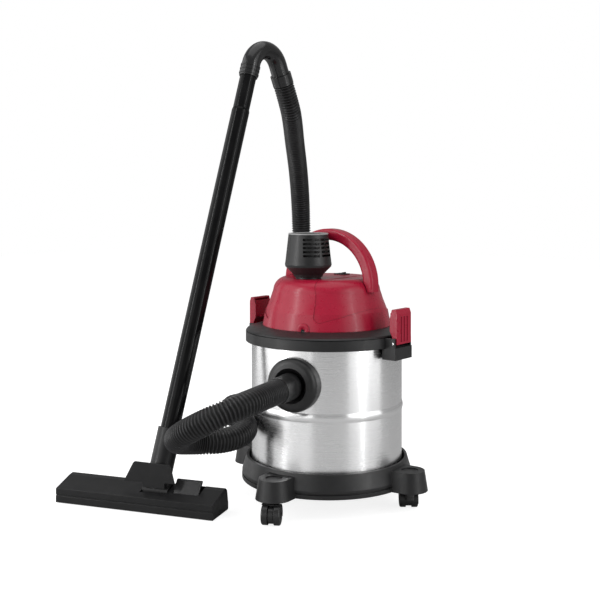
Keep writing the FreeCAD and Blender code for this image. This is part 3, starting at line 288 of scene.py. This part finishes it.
def add_mesh(name, bm, slot, smooth=True):
    """Scene object from a finished bmesh, with the material of a slot."""
    bmesh.ops.recalc_face_normals(bm, faces=bm.faces)
    mesh = bpy.data.meshes.new(name)
    bm.to_mesh(mesh)
    bm.free()
    for face in mesh.polygons:
        face.use_smooth = smooth
    mesh.materials.append(MATERIALS[slot])
    thing = bpy.data.objects.new(name, mesh)
    bpy.context.scene.collection.objects.link(thing)
    return thing


def belongs(thing, body, slot, *nodes):
    """Rides a piece on a body and hides the CAD nodes it stands for; the slot is not used."""
    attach(thing, body)
    if nodes:
        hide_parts(*nodes)


def spline_points(points):
    """Points of the smooth NURBS line that those control points make."""
    curve = bpy.data.curves.new("hose_line", "CURVE")
    curve.dimensions = "3D"
    curve.resolution_u = 16
    spline = curve.splines.new("NURBS")
    spline.points.add(len(points) - 1)
    for spot, point in zip(spline.points, points):
        spot.co = (*point, 1.0)
    spline.order_u = 3
    spline.use_endpoint_u = True
    line = bpy.data.objects.new("hose_line", curve)
    bpy.context.scene.collection.objects.link(line)
    read = bpy.data.meshes.new_from_object(line)
    spots = [vertex.co.copy() for vertex in read.vertices]
    bpy.data.objects.remove(line)
    return spots


def walk(spots, step):
    """Places at equal steps along a line of points, with the direction there."""
    lengths = [0.0]
    for before, after in zip(spots, spots[1:]):
        lengths.append(lengths[-1] + (after - before).length)
    total = lengths[-1]
    count = max(2, round(total / step))
    places = []
    index = 0
    for number in range(count + 1):
        reach = total * number / count
        while index < len(spots) - 2 and lengths[index + 1] < reach:
            index += 1
        share = (reach - lengths[index]) / (lengths[index + 1] - lengths[index])
        places.append(spots[index].lerp(spots[index + 1], share))
    ways = []
    for number in range(count + 1):
        ahead = places[min(number + 1, count)] - places[max(number - 1, 0)]
        ways.append(ahead.normalized())
    return places, ways


def swept(places, ways, radii, sides):
    """Closed tube mesh of those radii along a line, carried without twist."""
    bm = bmesh.new()
    across = ways[0].orthogonal().normalized()
    rings = []
    for place, way, radius in zip(places, ways, radii):
        across = (across - way * across.dot(way)).normalized()
        other = way.cross(across)
        ring = []
        for side in range(sides):
            angle = 2 * math.pi * side / sides
            ring.append(bm.verts.new(place + (across * math.cos(angle) + other * math.sin(angle)) * radius))
        rings.append(ring)
    for ring, following in zip(rings, rings[1:]):
        for side in range(sides):
            after = (side + 1) % sides
            bm.faces.new((ring[side], ring[after], following[after], following[side]))
    bm.faces.new(rings[0])
    bm.faces.new(rings[-1])
    return bm


# ---------------------------------------------------------------- suction hose

RIDGE_PITCH = 0.0056
RIDGE_PROUD = 0.0003
HOSE_SIDES = 32
# depths below the crest over one pitch: a narrow crest, then a round valley
RIDGE_PROFILE = (0.0, -0.0001, -0.0014, -0.0025, -0.0027, -0.0027, -0.0025, -0.0014)


def make_hose():
    """Corrugated hose: narrow crests and round valleys along the smooth line."""
    line = spline_points(HOSE_ROUTE)
    places, ways = walk(line, RIDGE_PITCH / len(RIDGE_PROFILE))
    radii = [HOSE_RADIUS + RIDGE_PROUD + RIDGE_PROFILE[index % len(RIDGE_PROFILE)]
             for index in range(len(places))]
    hose = add_mesh("hose_corrugated", swept(places, ways, radii, HOSE_SIDES), "hose_plastic")
    deepest = min(RIDGE_PROFILE)
    # ridge is 1 on the crests and 0 in the valleys; it places the painted highlight and painted shade of
    # the hose
    ridge = hose.data.attributes.new("ridge", "FLOAT", "POINT")
    for index, value in enumerate(ridge.data):
        step = index // HOSE_SIDES % len(RIDGE_PROFILE)
        value.value = (1.0 - RIDGE_PROFILE[step] / deepest) ** 2
    hose.data.materials[0] = corrugated("hose_corrugated_plastic")
    belongs(hose, "chassis", "hose_plastic", "suction_hose")


make_hose()


# ---------------------------------------------------------------- small details of the shells

COVER_FOOT_RADIUS = 0.1195
COVER_FOOT_HEIGHT = 0.320
BOSS_TURN = math.radians(-73.5)
BOSS_RISE = 0.003
HOLE_SHADE_RISE = 0.001


def revolved(profile, sides=48):
    """Closed mesh of revolution about Z from (radius, height) points that start and end on the axis."""
    bm = bmesh.new()
    rings = []
    for radius, height in profile:
        if radius == 0.0:
            rings.append([bm.verts.new((0.0, 0.0, height))])
            continue
        angles = [2 * math.pi * side / sides for side in range(sides)]
        rings.append([bm.verts.new((radius * math.cos(a), radius * math.sin(a), height)) for a in angles])
    for ring, following in zip(rings, rings[1:]):
        for side in range(sides):
            after = (side + 1) % sides
            corners = [ring[side % len(ring)], ring[after % len(ring)],
                       following[after % len(following)], following[side % len(following)]]
            bm.faces.new(list(dict.fromkeys(corners)))
    return bm


def stand_out(thing, turn, radius, height):
    """Place a turned piece so that its axis points away from the drum's axis."""
    outward = Vector((math.cos(turn), math.sin(turn), 0.0))
    thing.rotation_mode = "QUATERNION"
    thing.rotation_quaternion = outward.to_track_quat("Z", "Y")
    thing.location = outward * radius + Vector((0.0, 0.0, height))


def make_screw_boss():
    """Round boss at the front of the cover's foot, with a dark plug in its screw hole as painted shade of
    the hole.

    Both profiles are (radius, height) points, with height pointing out of the cover.
    """
    pad = [(0.0, -0.010), (0.0115, -0.010), (0.0115, -0.0004), (0.0110, 0.0006), (0.0100, 0.0010),
           (0.0039, 0.0010), (0.0035, 0.0006), (0.0035, 0.0004), (0.0, 0.0004)]
    # dark plug set in the screw hole: painted shade
    hole_shade = [(0.0, -0.002), (0.0033, -0.002), (0.0033, 0.0012), (0.0027, 0.0014), (0.0022, 0.0008),
              (0.0, 0.0008)]
    for name, profile, slot, rise in (("cover_screw_boss", pad, "red_shell", BOSS_RISE),
                                      ("cover_screw_hole_shade", hole_shade, "hose_plastic", HOLE_SHADE_RISE)):
        piece = add_mesh(name, revolved(profile), slot)
        stand_out(piece, BOSS_TURN, COVER_FOOT_RADIUS, COVER_FOOT_HEIGHT + rise)
        belongs(piece, "head", slot)


make_screw_boss()


# ---------------------------------------------------------------- studio

CAMERA_PLACE = (1.1263, -1.4960, 0.574)
CAMERA_TURN = math.radians(38.5)
CAMERA_LENS = 60.0
CAMERA_SENSOR = 36.0
CAMERA_SHIFT = -0.187
FORWARD = Vector((-math.sin(CAMERA_TURN), math.cos(CAMERA_TURN), 0.0))
RIGHTWARD = Vector((math.cos(CAMERA_TURN), math.sin(CAMERA_TURN), 0.0))
ROOM_LIGHT = 0.34
PAPER_GLOW = 0.84
FLOOR_HALF = 6.0
FLOOR_GAP = 0.0005


def make_studio():
    """Pale floor and the room's light, which is white paper to the camera."""
    bm = bmesh.new()
    bmesh.ops.create_grid(bm, x_segments=24, y_segments=24, size=FLOOR_HALF)
    mesh = bpy.data.meshes.new("studio_floor")
    bm.to_mesh(mesh)
    bm.free()
    floor = bpy.data.objects.new("studio_floor", mesh)
    floor.location.z = -FLOOR_GAP
    bpy.context.scene.collection.objects.link(floor)
    g = Graph("floor_paint")
    tone = g.mix(g.spread(g.noise(2.0), 0.0, 1.0), (0.46, 0.46, 0.46), (0.48, 0.48, 0.48))
    seen = g.add("ShaderNodeLightPath").outputs["Is Camera Ray"]
    g.link(g.math("MULTIPLY", seen, PAPER_GLOW), g.shader.inputs["Emission Strength"])
    g.shader.inputs["Emission Color"].default_value = (1.0, 1.0, 1.0, 1.0)
    paint = g.finish(tone, g.spread(g.noise(8.0), 0.7, 0.8), g.bump(g.noise(300.0), 0.00002))
    floor.data.materials.append(paint)

    world = bpy.data.worlds.new("studio_world")
    bpy.context.scene.world = world
    world.use_nodes = True
    tree = world.node_tree
    shade = tree.nodes["Background"]
    shade.inputs["Color"].default_value = (ROOM_LIGHT, ROOM_LIGHT, ROOM_LIGHT, 1.0)
    paper = tree.nodes.new("ShaderNodeBackground")
    paper.inputs["Color"].default_value = (1.0, 1.0, 1.0, 1.0)
    seen = tree.nodes.new("ShaderNodeLightPath")
    mixed = tree.nodes.new("ShaderNodeMixShader")
    tree.links.new(seen.outputs["Is Camera Ray"], mixed.inputs[0])
    tree.links.new(shade.outputs[0], mixed.inputs[1])
    tree.links.new(paper.outputs[0], mixed.inputs[2])
    tree.links.new(mixed.outputs[0], tree.nodes["World Output"].inputs["Surface"])


def add_softbox(name, place, target, width, height, brightness):
    """Soft rectangular light that looks at a point; across, ahead and up are seen from the camera."""
    lamp = bpy.data.lights.new(name, "AREA")
    lamp.shape = "RECTANGLE"
    lamp.size, lamp.size_y = width, height
    lamp.energy = brightness * math.pi * width * height
    thing = bpy.data.objects.new(name, lamp)
    spots = [RIGHTWARD * across + FORWARD * ahead + Vector((0, 0, up))
             for across, ahead, up in (place, target)]
    thing.location = spots[0]
    thing.rotation_euler = (spots[1] - spots[0]).to_track_quat("-Z", "Y").to_euler()
    thing.visible_camera = False
    bpy.context.scene.collection.objects.link(thing)


# name, place, point it looks at, width, height, brightness
LIGHTS = [
    ("left_softbox", (-1.7, -1.3, 1.0), (0.0, -1.3, 0.9), 5.6, 2.0, 1.35),
    ("right_softbox", (1.6, -1.5, 1.0), (0.0, -1.5, 0.9), 2.6, 2.0, 1.1),
    ("left_strip", (-1.60, -0.75, 0.9), (-0.1, -0.05, 0.5), 0.12, 1.7, 16.0),
    ("right_strip", (1.45, -1.15, 0.9), (0.0, 0.0, 0.4), 0.10, 1.7, 12.0),
    ("top_softbox", (0.0, 0.0, 3.0), (0.0, 0.0, 0.0), 3.0, 3.0, 1.1),
]

make_studio()
for light in LIGHTS:
    add_softbox(*light)

camera_data = bpy.data.cameras.new("camera")
camera_data.lens = CAMERA_LENS
camera_data.sensor_width = CAMERA_SENSOR
camera_data.shift_y = CAMERA_SHIFT
camera = bpy.data.objects.new("camera", camera_data)
camera.location = CAMERA_PLACE
camera.rotation_euler = (math.radians(90.0), 0.0, CAMERA_TURN)
bpy.context.scene.collection.objects.link(camera)
bpy.context.scene.camera = camera
bpy.context.scene.view_settings.view_transform = "Standard"
